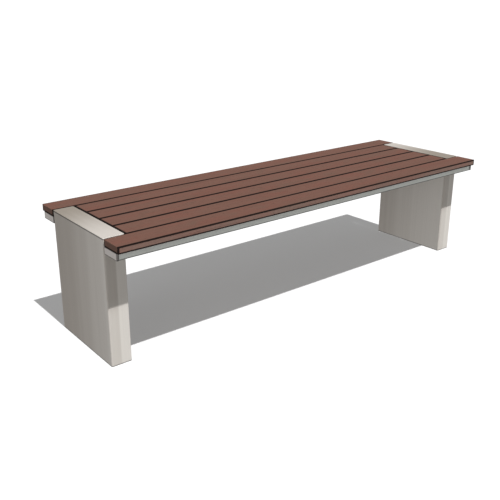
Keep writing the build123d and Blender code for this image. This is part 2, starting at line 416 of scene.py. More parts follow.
@dataclass(frozen=True)
class Finish:
    """A material of the bench: what it is, and how its surface was made.

    Attributes:
        name: The material's common name and its surface.
        colour: Its main colour, sRGB.
        metallic: How much of it mirrors as bare metal does.
        specular: How strongly the rest reflects.
        roughness: Its mean roughness.
        rough_range: How far its roughness varies.
        relief: How deep its relief is, in millimetres.
        joints: The joints and edges where dirt shows, and the foot, where it is partly painted shade.
        dirt: The colour of that dirt and of the painted shade at the foot, sRGB.
    """

    name: str = "plain"
    colour: str = "#808080"
    metallic: float = 0.0
    specular: float = 0.5
    roughness: float = 0.5
    rough_range: float = 0.2
    relief: float = 0.02
    joints: tuple[Joint, ...] = ()
    dirt: str = "#2B2723"

    def material(self) -> bpy.types.Material:
        """Build the material.

        Returns:
            The material, with a node-made colour, roughness and relief.
        """
        material = bpy.data.materials.new(self.name)
        material.use_nodes = True
        tree = material.node_tree
        tree.nodes.clear()
        look = self.look(tree)
        relief = {"Height": look.height, "Distance": self.relief * MM, "Strength": 1.0}
        inputs = {
            "Base Color": look.colour,
            "Metallic": self.metallic,
            "Roughness": look.roughness,
            "Specular IOR Level": self.specular,
            "Normal": add(tree, "ShaderNodeBump", relief),
        }
        surface = add(tree, "ShaderNodeBsdfPrincipled", inputs)
        add(tree, "ShaderNodeOutputMaterial", {"Surface": surface})
        return material

    def look(self, tree: bpy.types.NodeTree) -> Look:
        """Build the colour, the roughness and the relief.

        Args:
            tree: The material's tree.

        Returns:
            What the shader gets.
        """
        raise NotImplementedError

    def position(self, tree: bpy.types.NodeTree) -> Any:
        """Give the coordinates on the bench, in metres."""
        return add(tree, "ShaderNodeTexCoord", output="Object")

    def mix(self, tree: bpy.types.NodeTree, share: Any, first: Any, second: Any) -> Any:
        """Mix two colours by a share of the second."""
        inputs = {"Factor_Float": share, "A_Color": first, "B_Color": second}
        return add(tree, "ShaderNodeMix", inputs, output="Result_Color", data_type="RGBA")

    def uneven(self, noise: Number) -> Number:
        """Vary the roughness about its mean."""
        return noise * self.rough_range + (self.roughness - self.rough_range / 2)

    def soil_and_shade(self, tree: bpy.types.NodeTree, colour: Any) -> Any:
        """Darken a colour along the joints: dirt, and at the foot partly painted contact shade.

        Args:
            tree: The material's tree.
            colour: The clean colour.

        Returns:
            The colour with its dark lines.
        """
        parts = split(tree, self.position(tree))
        for joint in self.joints:
            distance = (parts[joint.axis.value].math("ABSOLUTE") - joint.place).math("ABSOLUTE")
            near = distance.eased(joint.reach * MM, joint.core * joint.reach * MM)
            colour = self.mix(tree, near * joint.share, colour, linear(self.dirt))
        return colour


@dataclass(frozen=True)
class OiledHardwood(Finish):
    """Red-brown hardwood, planed and oiled.

    The eye sees long soft fibres, redder and greyer patches a hand wide, short dark pores,
    and nearly black arrises, partly oil and dirt and partly painted shade beside the gaps. The
    sides that face a gap carry painted shade; the other sides and the undersides are painted
    paler, as painted light.

    Attributes:
        red: Colour of the redder patches.
        grey: Colour of the greyer patches.
        fibre: Colour of the fibres.
        pore: Colour of the pores.
        arris: Colour of the dark arrises, partly dirt and partly painted shade.
        end_grain: Colour of the sawn ends.
        red_patches: Where the wood is redder.
        grey_patches: Where it is greyer.
        fibres: Its fibres.
        pores: Its pores.
        side_gain: How much paler the slats' sides and undersides are painted than their tops, as painted
            light, for red, green and blue.
        side_slope: How far a face looks up, from a top to a side.
        end_depth: Where end grain gives way to long grain, in millimetres from the end.
        arris_core: Where the dark of an arris starts to fade, in millimetres from it.
        arris_width: Where it has faded.
        arris_share: How dark it is, up to 1.
        arris_dullness: How much rougher the dark arrises and gap sides are.
        gap_slope: How far a face looks up, from one free of painted shade to one that stands in a gap.
        open_depth: How near the bench's outside a side has to be to stay free of painted gap shade, in
            millimetres.
        fibre_height: How far the fibres stand out, beside the depth of the pores.
    """

    name: str = "hardwood_planed_oiled"
    colour: str = "#5E4238"
    red: str = "#623F35"
    grey: str = "#574339"
    fibre: str = "#462F26"
    pore: str = "#2E1D17"
    arris: str = "#0D0402"
    end_grain: str = "#6A4E42"
    specular: float = 0.2
    roughness: float = 0.68
    rough_range: float = 0.16
    relief: float = 0.25
    red_patches: Pattern = Pattern((170, 40, 40), 2.0, 0.42, 0.68, 0.65)
    grey_patches: Pattern = Pattern((95, 50, 50), 2.0, 0.50, 0.72, 0.5)
    # Real fibres are a few tenths of a millimetre wide; these are drawn 3 mm wide to show.
    fibres: Pattern = Pattern((320, 3, 3), 4.0, 0.48, 0.80, 0.55)
    # Real pores are 0.2 mm wide and a few millimetres long; these are drawn four times as wide.
    pores: Pattern = Pattern((16, 0.9, 0.9), 1.0, 0.64, 0.72, 0.45)
    side_gain: tuple[float, float, float] = (1.66, 2.09, 2.33)
    side_slope: tuple[float, float] = (0.8, 0.3)
    end_depth: tuple[float, float] = (1.2, 0.4)
    arris_core: float = 4.3
    arris_width: float = 6.2
    arris_share: float = 0.97
    arris_dullness: float = 0.3
    gap_slope: tuple[float, float] = (0.9, 0.5)
    open_depth: float = 4.0
    fibre_height: float = 0.7

    def look(self, tree: bpy.types.NodeTree) -> Look:
        """Lay patches, fibres, pores, ends, painted paler sides, dark arrises and painted gap shade over
        the wood's colour.

        Args:
            tree: The material's tree.

        Returns:
            What the shader gets.
        """
        grain = add(tree, "ShaderNodeAttribute", output="Vector", attribute_name="grain")
        edge, end, upward = (
            Number(tree, add(tree, "ShaderNodeAttribute", output="Fac", attribute_name=name))
            for name in ("edge_gap", "end_gap", "upward")
        )
        layers = (self.red_patches, self.grey_patches, self.fibres, self.pores)
        reds, greys, fibres, pores = (layer.noise(tree, grain) for layer in layers)
        colour = self.mix(tree, self.red_patches.cover(reds), linear(self.colour), linear(self.red))
        colour = self.mix(tree, self.grey_patches.cover(greys), colour, linear(self.grey))
        # Painted light: sides and undersides are painted paler than the tops, to even out what the key
        # light does.
        gains = {0: colour, 1: self.side_gain}
        painted_side_light = add(tree, "ShaderNodeVectorMath", gains, operation="MULTIPLY")
        colour = self.mix(tree, upward.eased(*self.side_slope), colour, painted_side_light)
        at_end = end.eased(*(depth * MM for depth in self.end_depth))
        colour = self.mix(tree, at_end, colour, linear(self.end_grain))
        colour = self.mix(tree, self.fibres.cover(fibres), colour, linear(self.fibre))
        colour = self.mix(tree, self.pores.cover(pores), colour, linear(self.pore))
        # Dark arrises: partly oil and dirt, partly painted shade beside the gaps. The upright sides that
        # face a gap get painted shade.
        arris = edge.eased(self.arris_width * MM, self.arris_core * MM)
        dark = arris.math("MAXIMUM", self.gap_shade(tree, upward))
        colour = self.mix(tree, dark * self.arris_share, colour, linear(self.arris))
        height = fibres * self.fibre_height - self.pores.eased(pores)
        return Look(colour, self.uneven(fibres) + dark * self.arris_dullness, height)

    def gap_shade(self, tree: bpy.types.NodeTree, upward: Number) -> Number:
        """Find the upright sides that face a gap, where the painted shade of the gaps goes.

        Args:
            tree: The material's tree.
            upward: How far a face looks up.

        Returns:
            The share of painted shade, 1 inside the gaps.
        """
        share = upward.math("ABSOLUTE").eased(*self.gap_slope)
        for part, outer in zip(split(tree, self.position(tree)), CAD_HIGH.xy):
            inside = part.math("ABSOLUTE").math("LESS_THAN", outer - self.open_depth * MM)
            share = share * inside
        return share


@dataclass(frozen=True)
class SatinSheet(Finish):
    """Stainless sheet with a fine satin grain, lacquered.

    The eye sees fine streaks along the grain, broad soft bands across it and a slow change
    of tone over the sheet, with hardly a mirror image in it. That change is painted: a
    painted reflection over the broad walls, painted light on the inner walls and painted
    shade high on the narrow walls.

    Attributes:
        dark: The darker end of the sheet's slow change of tone.
        streaks: The satin lines.
        streak_tone: Brightness of the bottom of a line, beside the dark tone.
        bands: The broad bands.
        band_change: How far they change the tone.
        broad_change: Change of tone over a leg's broad walls, a painted reflection.
        inner_painted_light: How much lighter a leg's inner wall is painted, as painted light under the
            seat.
        painted_seat_shade: How much darker the narrow walls are painted high up, as painted shade under
            the seat's edge.
        painted_seat_shade_heights: Where that starts and where it is full, in millimetres.
        narrow_left_tone: Tone of the left half of the narrow walls.
        narrow_right_step: How much lighter their right half is.
        narrow_halves_blend: Half the width over which the halves blend, in millimetres.
        corner: Where the tone changes from broad to narrow wall, in millimetres from the corner.
    """

    name: str = "stainless_sheet_satin_lacquered"
    colour: str = "#DAD5CE"
    dark: str = "#AFA79E"
    metallic: float = 0.2
    roughness: float = 0.48
    rough_range: float = 0.14
    relief: float = 0.04
    # Real satin lines are 0.1 mm apart; these are drawn 2 mm apart to show.
    streaks: Pattern = Pattern((2, 2, 520), 3.0, 0.40, 0.75, 0.10)
    streak_tone: float = 0.6
    bands: Pattern = Pattern((34, 34, 1600), 1.0)
    band_change: float = 0.3
    broad_change: float = 0.75
    inner_painted_light: float = 0.33
    painted_seat_shade: float = 0.28
    painted_seat_shade_heights: tuple[float, float] = (170.0, 250.0)
    narrow_left_tone: float = 0.60
    narrow_right_step: float = 0.35
    narrow_halves_blend: float = 3.0
    corner: tuple[float, float] = (8.0, 2.0)

    def look(self, tree: bpy.types.NodeTree) -> Look:
        """Lay bands, satin lines and dirt, with painted shade at the foot, over the sheet's painted
        change of tone.

        Args:
            tree: The material's tree.

        Returns:
            What the shader gets.
        """
        streaks, bands = (layer.noise(tree, self.position(tree)) for layer in (self.streaks, self.bands))
        tone = self.drift(tree) + (bands - 0.5) * self.band_change
        colour = self.mix(tree, tone.eased(0.0, 1.0), linear(self.dark), linear(self.colour))
        bottom = tuple(channel * self.streak_tone for channel in linear(self.dark)[:3]) + (1.0,)
        colour = self.mix(tree, self.streaks.cover(streaks), colour, bottom)
        return Look(self.soil_and_shade(tree, colour), self.uneven(streaks), streaks)

    def drift(self, tree: bpy.types.NodeTree) -> Number:
        """Give the slow change of tone painted over a leg: painted reflection, light and shade.

        The broad walls go from dark at the rear to light at the front, a painted reflection, and
        the inner ones are painted lighter, as painted light under the seat. The narrow walls have a
        darker left half and a lighter right half, and are painted darker high up, as painted shade
        under the seat's edge.

        Args:
            tree: The material's tree.

        Returns:
            The tone, from 0, dark, to 1, light.
        """
        along, across, up = split(tree, self.position(tree))
        low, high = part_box("right_leg_shell")
        middle, half = (low + high) / 2, (high - low) / 2
        # Painted reflection: the broad walls are dark at the rear and light at the front.
        broad = across * (-self.broad_change / 2 / half.y) + self.broad_change / 2
        outward = along.math("ABSOLUTE") - middle.x
        # Painted light: the inner walls, under the seat, are painted lighter.
        broad = broad + outward.eased(half.x / 2, -half.x / 2) * self.inner_painted_light
        sideways = outward * along.math("SIGN")
        blend = self.narrow_halves_blend * MM
        narrow = sideways.eased(-blend, blend) * self.narrow_right_step + self.narrow_left_tone
        # Painted shade: the narrow walls are painted darker high up, where the seat's shadow falls.
        narrow = narrow - up.eased(*(height * MM for height in self.painted_seat_shade_heights)) * self.painted_seat_shade
        end = across.math("ABSOLUTE").eased(*(half.y - inset * MM for inset in self.corner))
        return broad + (narrow - broad) * end


@dataclass(frozen=True)
class SatinTopPlate(SatinSheet):
    """The same sheet, ground along the plate's length.

    The eye sees a lighter plate than the leg below it, and each plate changes tone towards
    one end, the two plates the other way round: a painted reflection.

    Attributes:
        right_plate_step: How much darker the right plate is.
    """

    name: str = "stainless_plate_ground"
    colour: str = "#CFC9C2"
    dark: str = "#968D82"
    metallic: float = 0.5
    roughness: float = 0.5
    streaks: Pattern = Pattern((2, 520, 2), 3.0, 0.40, 0.75, 0.08)
    bands: Pattern = Pattern((34, 1600, 34), 1.0)
    right_plate_step: float = 0.17

    def drift(self, tree: bpy.types.NodeTree) -> Number:
        """Give the painted reflection along each plate, one the other way round.

        Args:
            tree: The material's tree.

        Returns:
            The tone, from 0, dark, to 1, light.
        """
        along, across, _ = split(tree, self.position(tree))
        low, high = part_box("right_leg_top_plate")
        # Painted reflection: each plate lighter towards one end, mirrored between the two plates.
        turned = along * across * (0.5 / (high.y * (low.x + high.x) / 2)) + 0.5
        return turned - along.eased(-low.x, low.x) * self.right_plate_step


@dataclass(frozen=True)
class PowderCoat(Finish):
    """Light grey polyester powder coat, satin.

    The eye sees an even light grey with a fine orange-peel ripple and a little dust.

    Attributes:
        dust: Colour of the dust.
        dusty: Where dust lies.
        peel: The ripple.
    """

    name: str = "steel_powder_coated_satin"
    colour: str = "#E6E9E3"
    dust: str = "#CDCDC5"
    roughness: float = 0.465
    rough_range: float = 0.15
    relief: float = 0.05
    dusty: Pattern = Pattern((60, 30, 20), 4.0, 0.45, 0.80, 0.35)
    # Real orange peel has a ripple of about 1 mm; it is drawn 2.5 mm wide to show.
    peel: Pattern = Pattern((2.5, 2.5, 2.5), 1.0)

    def look(self, tree: bpy.types.NodeTree) -> Look:
        """Lay dust and dirt over the coat.

        Args:
            tree: The material's tree.

        Returns:
            What the shader gets.
        """
        dust, peel = (layer.noise(tree, self.position(tree)) for layer in (self.dusty, self.peel))
        colour = self.mix(tree, self.dusty.cover(dust), linear(self.colour), linear(self.dust))
        return Look(self.soil_and_shade(tree, colour), self.uneven(dust), peel)


@dataclass(frozen=True)
class TurnedSteel(Finish):
    """Stainless steel of bolts and screws, turned and bright.

    The eye sees a clean grey metal with soft highlights and slight clouding.

    Attributes:
        clouded: Colour of the clouding.
        clouds: Where the metal is clouded.
        marks: The marks of the tool or the mould.
    """

    name: str = "stainless_turned_bright"
    colour: str = "#C4C1BC"
    clouded: str = "#A5A19B"
    metallic: float = 1.0
    roughness: float = 0.34
    clouds: Pattern = Pattern((6, 6, 6), 3.0, 0.35, 0.75)
    # Real tool marks are 0.1 mm apart; they are drawn 0.5 mm apart.
    marks: Pattern = Pattern((0.5, 0.5, 0.5), 1.0)

    def look(self, tree: bpy.types.NodeTree) -> Look:
        """Lay the clouding over the metal.

        Args:
            tree: The material's tree.

        Returns:
            What the shader gets.
        """
        clouds, marks = (layer.noise(tree, self.position(tree)) for layer in (self.clouds, self.marks))
        colour = self.mix(tree, self.clouds.cover(clouds), linear(self.colour), linear(self.clouded))
        return Look(colour, self.uneven(clouds), marks)


@dataclass(frozen=True)
class MillSteel(TurnedSteel):
    """Hot-rolled steel as it leaves the mill.

    The eye sees dark grey scale in cloudy patches, dull all over.
    """

    name: str = "steel_mill_finish"
    colour: str = "#7E7C79"
    clouded: str = "#5B5856"
    roughness: float = 0.62
    clouds: Pattern = Pattern((24, 24, 24), 3.0, 0.35, 0.75)


@dataclass(frozen=True)
class MouldedNylon(TurnedSteel):
    """Black nylon, injection moulded.

    The eye sees a dull black with a faint grain.
    """

    name: str = "nylon_moulded_black"
    colour: str = "#1B1B1B"
    clouded: str = "#262524"
    metallic: float = 0.0
    roughness: float = 0.55
    clouds: Pattern = Pattern((3, 3, 3), 3.0, 0.35, 0.75)


# ---------------------------------------------------------------- slats


@dataclass
class Slats:
    """The six slats: rounded boxes whose arrises are true quarter rounds.

    Attributes:
        wood: Their finish.
        arris_radius: Radius of every arris, in metres.
        round_steps: Faces over half of an arris.
        flat_steps: Faces between the arrises, along, across and up, with a narrow one beside
            each arris.
        border: Width of that narrow face, in metres.
        wiped_width: How far dirt is wiped off the upper arris at an open end, in metres.
        grain_shift: How far apart the slats were in the timber that they were cut from.
    """

    wood: bpy.types.Material
    arris_radius: float = 2.0 * MM
    round_steps: int = 4
    flat_steps: tuple[int, int, int] = (60, 8, 4)
    border: float = 4.5 * MM
    wiped_width: float = 6.2 * MM
    grain_shift: tuple[float, float, float] = (2.37, 0.61, 0.29)

    def rule(self) -> RuleTree:
        """Build the tree that makes one slat.

        Returns:
            The tree, with the slat's size and place as its inputs.
        """
        rule = RuleTree("slat")
        size = split(rule.tree, rule.ask("Size", "Vector"))
        centre = rule.ask("Centre", "Vector")
        radius = rule.ask("Arris radius")
        wiped = rule.ask("Wiped width")
        shift = rule.ask("Grain shift", "Vector")
        material = rule.ask("Material", "Material")
        steps = [2 * self.round_steps + flat for flat in self.flat_steps]
        counts = {f"Vertices {axis}": step + 1 for axis, step in zip("XYZ", steps)}
        box = rule.add("GeometryNodeMeshCube", {"Size": Vector(steps), **counts})
        spots = split(rule.tree, rule.add("GeometryNodeInputPosition"))
        flats, rounds = [], []
        for spot, flat, whole in zip(spots, self.flat_steps, size):
            distance, side = spot.math("ABSOLUTE"), spot.math("SIGN")
            inner = whole / 2.0 - radius - self.border
            steady = (distance / (flat / 2 - 1)).math("MINIMUM", 1.0) * inner
            narrow = (distance - (flat / 2 - 1)).math("MAXIMUM", 0.0).math("MINIMUM", 1.0)
            flats.append((steady + narrow * self.border) * side)
            turn = (distance - flat / 2).math("MAXIMUM", 0.0) * (math.pi / 4 / self.round_steps)
            rounds.append(turn.math("TANGENT") * side)
        outward = rule.add("ShaderNodeVectorMath", {0: rule.join(rounds)}, operation="NORMALIZE")
        pushed = rule.add("ShaderNodeVectorMath", {0: outward, "Scale": radius}, operation="SCALE")
        spot = rule.add("ShaderNodeVectorMath", {0: rule.join(flats), 1: pushed}, operation="ADD")
        captured = rule.add("GeometryNodeCaptureAttribute", {"Geometry": box})
        capture = captured.node
        capture.capture_items.new("VECTOR", "Outward")
        rule.tree.links.new(outward, capture.inputs["Outward"])
        slat = rule.add("GeometryNodeSetPosition", {"Geometry": captured, "Position": spot})
        here = split(rule.tree, rule.add("GeometryNodeInputPosition"))
        gaps = [whole / 2.0 - part.math("ABSOLUTE") for whole, part in zip(size, here)]
        least = gaps[0].math("MINIMUM", gaps[1]).math("MINIMUM", gaps[2])
        most = gaps[0].math("MAXIMUM", gaps[1]).math("MAXIMUM", gaps[2])
        between = gaps[0] + gaps[1] + gaps[2] - least - most
        clean = gaps[1].math("GREATER_THAN", wiped) * here[2].math("GREATER_THAN", 0.0)
        slat = rule.keep(slat, "edge_gap", between + clean * wiped)
        slat = rule.keep(slat, "end_gap", gaps[0])
        slat = rule.keep(slat, "upward", split(rule.tree, capture.outputs["Outward"])[2])
        grain = rule.add("ShaderNodeVectorMath", {0: rule.join(here), 1: shift}, operation="ADD")
        slat = rule.keep(slat, "grain", grain, "FLOAT_VECTOR")
        slat = rule.add("GeometryNodeSetShadeSmooth", {"Geometry": slat})
        slat = rule.add("GeometryNodeTransform", {"Geometry": slat, "Translation": centre})
        normals = {"Mesh": slat, "Custom Normal": capture.outputs["Outward"]}
        slat = rule.add("GeometryNodeSetMeshNormal", normals, mode="FREE", domain="POINT")
        rule.close(slat, material)
        return rule

    def build(self) -> None:
        """Make the slats in place of their nodes."""
        rule = self.rule()
        nodes = [node for node in sorted(frame["nodes"]) if "slat" in node and "screws" not in node]
        for number, node in enumerate(nodes):
            low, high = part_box(node)
            values = {
                "Size": high - low,
                "Centre": (low + high) / 2,
                "Arris radius": self.arris_radius,
                "Wiped width": self.wiped_width if "outer" in node else 0.0,
                "Grain shift": Vector(self.grain_shift) * (number + 1),
                "Material": self.wood,
            }
            mesh = rule.run(bpy.data.meshes.new("seed"), values)
            place(f"{node}_planed", mesh, "timber", node)


# ---------------------------------------------------------------- fasteners


@dataclass(frozen=True)
class Ring:
    """One ring of a turned shape.

    Attributes:
        radius: Its radius.
        height: Its height along the fastener's axis.
        flats: Distance across flats, if the ring is a hexagon.
    """

    radius: Any
    height: Any
    flats: Any = NO_FLATS


def separate_solids(node: str) -> list[tuple[Vector, Vector]]:
    """Find the boxes of the separate solids of a node.

    Args:
        node: The node's name.

    Returns:
        Each solid's lowest and highest corners, in order along, across and up.
    """
    mesh = frame["nodes"][node].data
    parent: dict[tuple[int, ...], tuple[int, ...]] = {}

    def top(key: tuple[int, ...]) -> tuple[int, ...]:
        """Follow a point to the one that stands for its solid.

        Args:
            key: The point, as whole steps of the welding distance.

        Returns:
            The point that stands for the solid.
        """
        while parent.setdefault(key, key) != key:
            key = parent[key]
        return key

    keys = [tuple(round(c / WELD) for c in vertex.co) for vertex in mesh.vertices]
    for polygon in mesh.polygons:
        first = top(keys[polygon.vertices[0]])
        for index in polygon.vertices[1:]:
            parent[top(keys[index])] = first
    solids: dict[tuple[int, ...], list[Vector]] = {}
    for key, vertex in zip(keys, mesh.vertices):
        solids.setdefault(top(key), []).append(vertex.co)
    boxes = [
        tuple(Vector(pick(co[axis] for co in points) for axis in range(3)) for pick in (min, max))
        for points in solids.values()
    ]
    # Rounded, so that corners in one line stay in one line.
    return sorted(boxes, key=lambda box: tuple(round(c, 5) for c in box[0]))


@dataclass
class Fastener:
    """A turned fastener, repeated wherever its node has a solid.

    Its own axis starts at the seat, under the head, and points out of the head.

    Attributes:
        node: The node that it replaces.
        slot: The material slot.
        steel: Its finish.
        axis: The axis of the frame that it lies along.
        sizes: Its sizes by name, in millimetres.
        sides: Faces round the axis, a multiple of six.
        seed: Fixes how far each one is turned about its axis.
        sharp_angle: Edges sharper than this, in radians, stay crisp.
        standing: The name of the size by which it stands out of its seat.
    """

    node: str
    slot: str
    steel: bpy.types.Material
    axis: Axis
    sizes: dict[str, float]
    sides: int = 24
    seed: int = 7
    sharp_angle: float = 0.5
    standing: str = "Head height"

    def rings(self, size: Mapping[str, Number]) -> list[Ring]:
        """Give the rings of the turned shape, in order from the axis back to the axis.

        Args:
            size: The tree's named inputs.

        Returns:
            The rings.
        """
        raise NotImplementedError

    def cone(self, size: Mapping[str, Number], radius: Number) -> Number | None:
        """Give the height that turned-off corners allow at a radius, if they are turned off."""
        return None

    def outward(self, centre: Vector) -> float:
        """Say which way a head points along its axis: away from the middle of the bench."""
        return math.copysign(1.0, centre[self.axis.value])

    def rule(self) -> RuleTree:
        """Build the tree that turns the fastener and repeats it on points.

        Returns:
            The tree, with the fastener's sizes as its inputs.
        """
        rule = RuleTree(self.node)
        points = rule.ask("Seats", "Geometry")
        size = {name: rule.ask(name) for name in self.sizes}
        seed = rule.ask("Seed", "Int")
        material = rule.ask("Material", "Material")
        rings = self.rings(size)
        grid_size = {"Vertices X": len(rings), "Vertices Y": self.sides + 1}
        grid = rule.add("GeometryNodeMeshGrid", grid_size)
        index = Number(rule.tree, rule.add("GeometryNodeInputIndex"))
        row = (index / float(self.sides + 1)).math("FLOOR")
        angle = (index - row * float(self.sides + 1)) * (2 * math.pi / self.sides)
        radius, height, flats = (
            self.pick(rule, row, [getattr(ring, part) for ring in rings])
            for part in ("radius", "height", "flats")
        )
        sixth = math.pi / 3
        from_flat = angle.math("FLOORED_MODULO", sixth) - sixth / 2
        radius = radius.math("MINIMUM", flats / 2.0 / from_flat.math("COSINE"))
        limit = self.cone(size, radius)
        height = height.math("MINIMUM", limit) if limit else height
        spot = rule.join([radius * angle.math("COSINE"), radius * angle.math("SINE"), height])
        body = rule.add("GeometryNodeSetPosition", {"Geometry": grid, "Position": spot})
        body = rule.add("GeometryNodeMergeByDistance", {"Geometry": body, "Distance": WELD})
        body = rule.add("GeometryNodeSetShadeSmooth", {"Geometry": body})
        edge = Number(rule.tree, rule.add("GeometryNodeInputMeshEdgeAngle"))
        is_sharp = edge.math("GREATER_THAN", self.sharp_angle)
        sharp = {"Geometry": body, "Selection": is_sharp, "Shade Smooth": False}
        body = rule.add("GeometryNodeSetShadeSmooth", sharp, domain="EDGE")
        name = {"Name": "heading"}
        heading = rule.add("GeometryNodeInputNamedAttribute", name, data_type="FLOAT_VECTOR")
        upright = rule.add("FunctionNodeAlignRotationToVector", {"Vector": heading}, axis="Z")
        twist = rule.add("FunctionNodeRandomValue", {"Max_001": sixth, "Seed": seed}, output="Value_001")
        angles = rule.join([Number(rule.tree, part) for part in (0.0, 0.0, twist)])
        spin = rule.add("FunctionNodeEulerToRotation", {"Euler": angles})
        both = {"Rotation": upright, "Rotate By": spin}
        turned = rule.add("FunctionNodeRotateRotation", both, rotation_space="LOCAL")
        copies = {"Points": points, "Instance": body, "Rotation": turned}
        rule.close(rule.add("GeometryNodeInstanceOnPoints", copies), material)
        return rule

    def pick(self, rule: RuleTree, row: Number, values: Sequence[Any]) -> Number:
        """Pick a ring's value by its row.

        Args:
            rule: The tree.
            row: The row's number.
            values: One value for each row.

        Returns:
            The picked value.
        """
        picker = rule.tree.nodes.new("GeometryNodeIndexSwitch")
        picker.data_type = "FLOAT"
        while len(picker.index_switch_items) < len(values):
            picker.index_switch_items.new()
        rule.tree.links.new(row.socket, picker.inputs["Index"])
        for socket, value in zip(list(picker.inputs)[1:], values):
            if isinstance(value, Number):
                rule.tree.links.new(value.socket, socket)
            else:
                socket.default_value = value
        return Number(rule.tree, picker.outputs[0])

    def seats(self) -> bpy.types.Mesh:
        """Make one point for each fastener, on its seat, with the way that it points.

        Returns:
            The points.
        """
        spots, headings = [], []
        axis = self.axis.value
        height = self.sizes[self.standing] * MM
        for low, high in separate_solids(self.node):
            spot = (low + high) / 2
            way = self.outward(spot)
            spot[axis] = (high if way > 0 else low)[axis] - way * height
            spots.append(spot)
            headings.append([way if part == axis else 0.0 for part in range(3)])
        mesh = bpy.data.meshes.new(self.node)
        mesh.from_pydata(spots, [], [])
        stored = mesh.attributes.new("heading", "FLOAT_VECTOR", "POINT")
        stored.data.foreach_set("vector", [part for heading in headings for part in heading])
        return mesh

    def build(self) -> None:
        """Make every copy as one piece in place of the node."""
        values = {name: value * MM for name, value in self.sizes.items()}
        values |= {"Seed": self.seed, "Material": self.steel}
        mesh = self.rule().run(self.seats(), values)
        place(f"{self.node}_turned", mesh, self.slot, self.node)


@dataclass
class HexBolt(Fastener):
    """Bolt with a chamfered hexagon head and a chamfered end.

    Attributes:
        crown: Radius of the head's flat top, as a share of the distance across flats.
        dish: Radius of the dish in that top, as such a share.
        dish_floor: Radius of the dish's floor, as such a share.
        dish_depth: Depth of the dish, as a share of the end's chamfer.
    """

    crown: float = 0.47
    dish: float = 0.30
    dish_floor: float = 0.28
    dish_depth: float = 0.3

    def rings(self, size: Mapping[str, Number]) -> list[Ring]:
        """Give the rings from the bolt's end to the top of its head.

        Args:
            size: The tree's named inputs.

        Returns:
            The rings.
        """
        flats, head, shank = size["Flats"], size["Head height"], size["Shank radius"]
        length, chamfer = size["Length"], size["End chamfer"]
        corner, floor = flats * (1 / math.sqrt(3)), head - chamfer * self.dish_depth
        return [
            Ring(0.0, -length),
            Ring(shank - chamfer, -length),
            Ring(shank, chamfer - length),
            Ring(shank, 0.0),
            Ring(corner, 0.0, flats),
            Ring(corner, head, flats),
            Ring(flats * self.crown, head),
            Ring(flats * self.dish, head),
            Ring(flats * self.dish_floor, floor),
            Ring(0.0, floor),
        ]

    def cone(self, size: Mapping[str, Number], radius: Number) -> Number:
        """Turn the head's corners off at 30 degrees."""
        return size["Head height"] - (radius - size["Flats"] * self.crown) * math.tan(math.pi / 6)


@dataclass
class HexNut(HexBolt):
    """Nut with its outer corners turned off and a countersunk thread."""

    def rings(self, size: Mapping[str, Number]) -> list[Ring]:
        """Give the rings from the thread's seat end round to the same place.

        Args:
            size: The tree's named inputs.

        Returns:
            The rings.
        """
        flats, head, hole = size["Flats"], size["Head height"], size["Thread radius"]
        corner, sink = flats * (1 / math.sqrt(3)), size["Countersink"]
        return [
            Ring(hole, 0.0),
            Ring(corner, 0.0, flats),
            Ring(corner, head, flats),
            Ring(flats * self.crown, head),
            Ring(hole + sink, head),
            Ring(hole, head - sink),
            Ring(hole, 0.0),
        ]

    def outward(self, centre: Vector) -> float:
        """Say which way the nut stands: towards the middle of the bench."""
        return -super().outward(centre)


@dataclass
class FlatRing(Fastener):
    """Washer or spacer: a flat ring with eased edges."""

    standing: str = "Thickness"

    def rings(self, size: Mapping[str, Number]) -> list[Ring]:
        """Give the rings of the section, once round.

        Args:
            size: The tree's named inputs.

        Returns:
            The rings.
        """
        outer, inner, height = size["Outer radius"], size["Inner radius"], size["Thickness"]
        ease = size["Edge"]
        return [
            Ring(inner + ease, 0.0),
            Ring(outer - ease, 0.0),
            Ring(outer, ease),
            Ring(outer, height - ease),
            Ring(outer - ease, height),
            Ring(inner + ease, height),
            Ring(inner, height - ease),
            Ring(inner, ease),
            Ring(inner + ease, 0.0),
        ]


@dataclass
class SocketScrew(Fastener):
    """Screw with a rounded head and a hexagon socket.

    Attributes:
        round_steps: Faces over the rounding of the head.
        socket_ease: Chamfer of the socket's rim, as a share of the tip's radius.
    """

    round_steps: int = 4
    socket_ease: float = 0.4

    def rings(self, size: Mapping[str, Number]) -> list[Ring]:
        """Give the rings from the screw's point to the bottom of its socket.

        Args:
            size: The tree's named inputs.

        Returns:
            The rings.
        """
        head_radius, head, shank = size["Head radius"], size["Head height"], size["Shank radius"]
        length, tip, bend = size["Length"], size["Tip length"], size["Head rounding"]
        socket, depth = size["Socket flats"], size["Socket depth"]
        corner, ease = socket * (1 / math.sqrt(3)), size["Tip radius"] * self.socket_ease
        rings = [
            Ring(0.0, -length),
            Ring(size["Tip radius"], -length),
            Ring(shank, tip - length),
            Ring(shank, 0.0),
            Ring(head_radius, 0.0),
        ]
        for step in range(self.round_steps + 1):
            turn = math.pi / 2 * step / self.round_steps
            radius = head_radius - bend * (1 - math.cos(turn))
            rings.append(Ring(radius, head - bend * (1 - math.sin(turn))))
        return rings + [
            Ring(corner + ease, head),
            Ring(corner, head - ease, socket),
            Ring(corner, head - depth, socket),
            Ring(0.0, head - depth),
        ]


@dataclass
class ScrewFromBelow(SocketScrew):
    """Screw whose head points down."""

    def outward(self, centre: Vector) -> float:
        """Say that the head points down."""
        return -1.0


@dataclass
class ScrewFromInside(SocketScrew):
    """Screw whose head points to the middle of the bench."""

    def outward(self, centre: Vector) -> float:
        """Say that the head points to the middle."""
        return -super().outward(centre)


